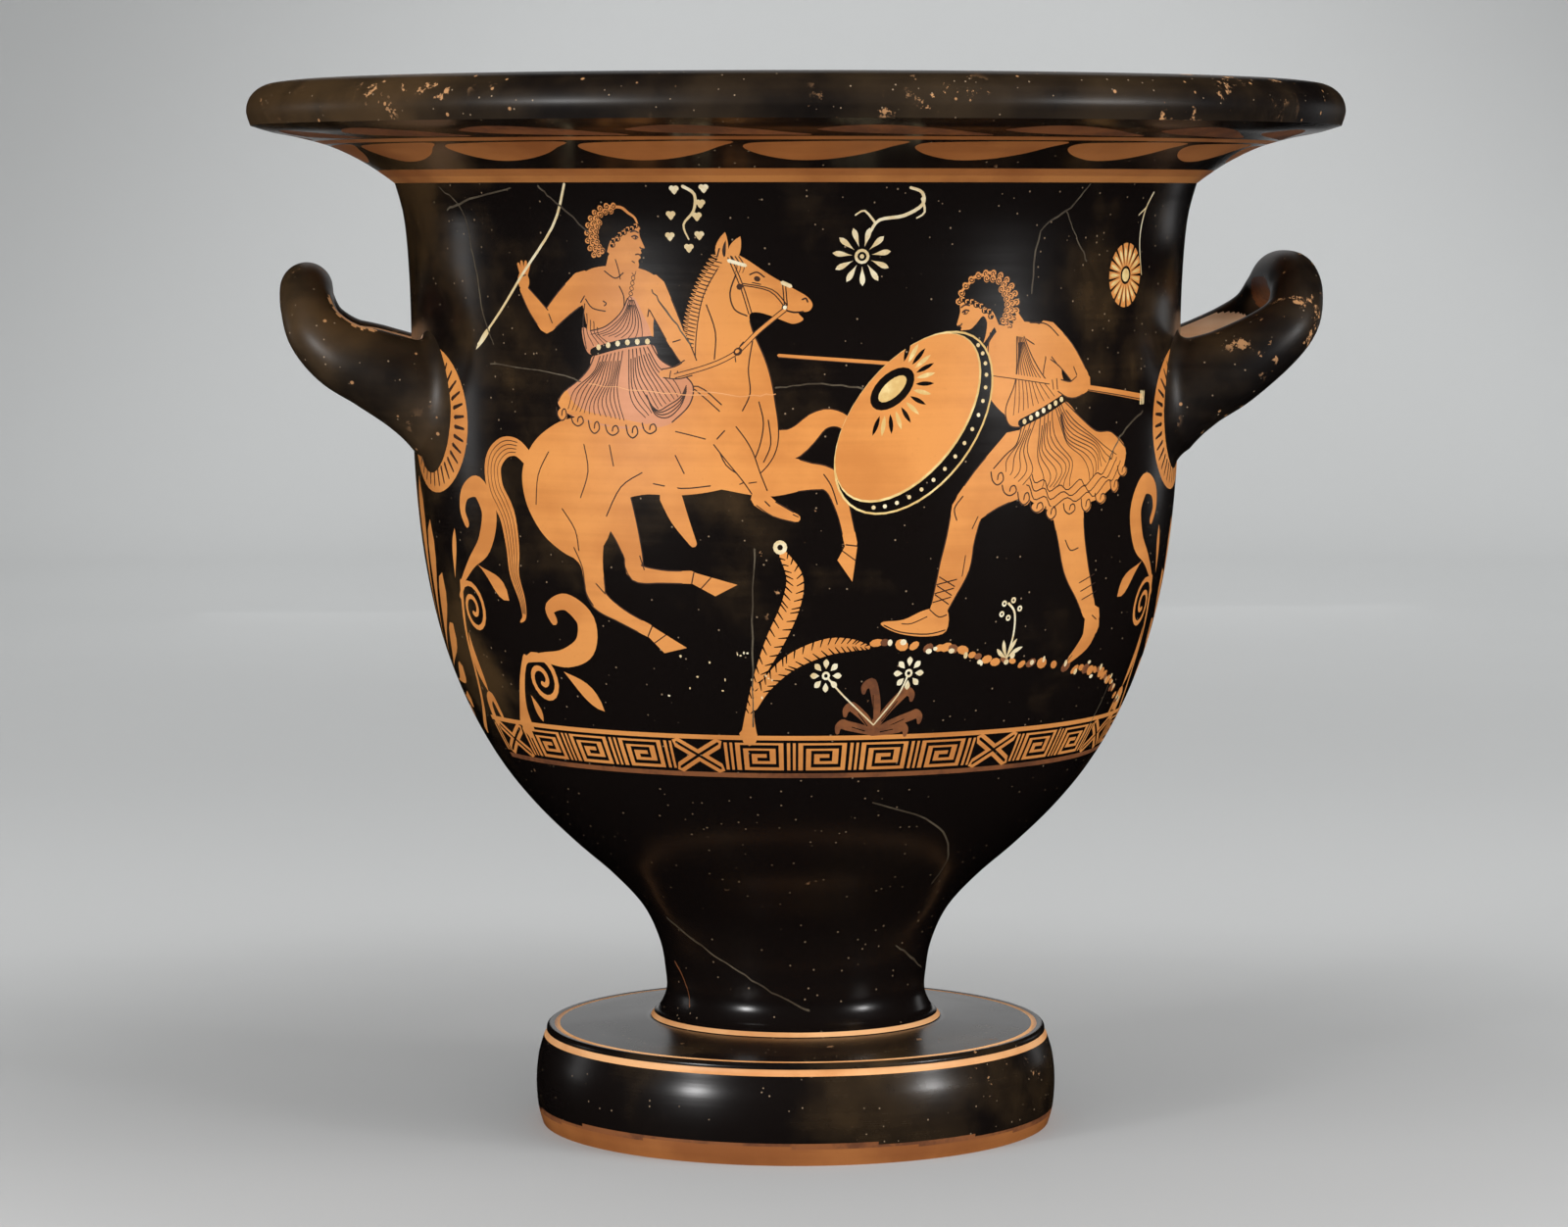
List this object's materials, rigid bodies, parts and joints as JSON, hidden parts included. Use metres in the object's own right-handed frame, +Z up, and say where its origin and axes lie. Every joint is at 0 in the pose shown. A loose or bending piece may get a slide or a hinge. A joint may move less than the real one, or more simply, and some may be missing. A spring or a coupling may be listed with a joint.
{
  "type": "bell krater",
  "caption": "Wide-mouthed pottery mixing bowl with a flaring lip, a stemmed disc foot and upturned loop handles, black gloss over orange clay with painted figures.",
  "frame": {"origin": "middle of the underside, at the height of the foot's resting ring", "axes": "+Z up along the vase's axis, X through both handles, -Y the painted front"},
  "size_m": [0.39, 0.39, 0.373],
  "materials": {
    "glossed_clay": null
  },
  "bodies": {
    "root": {"krater": "glossed_clay"}
  },
  "joints": []
}
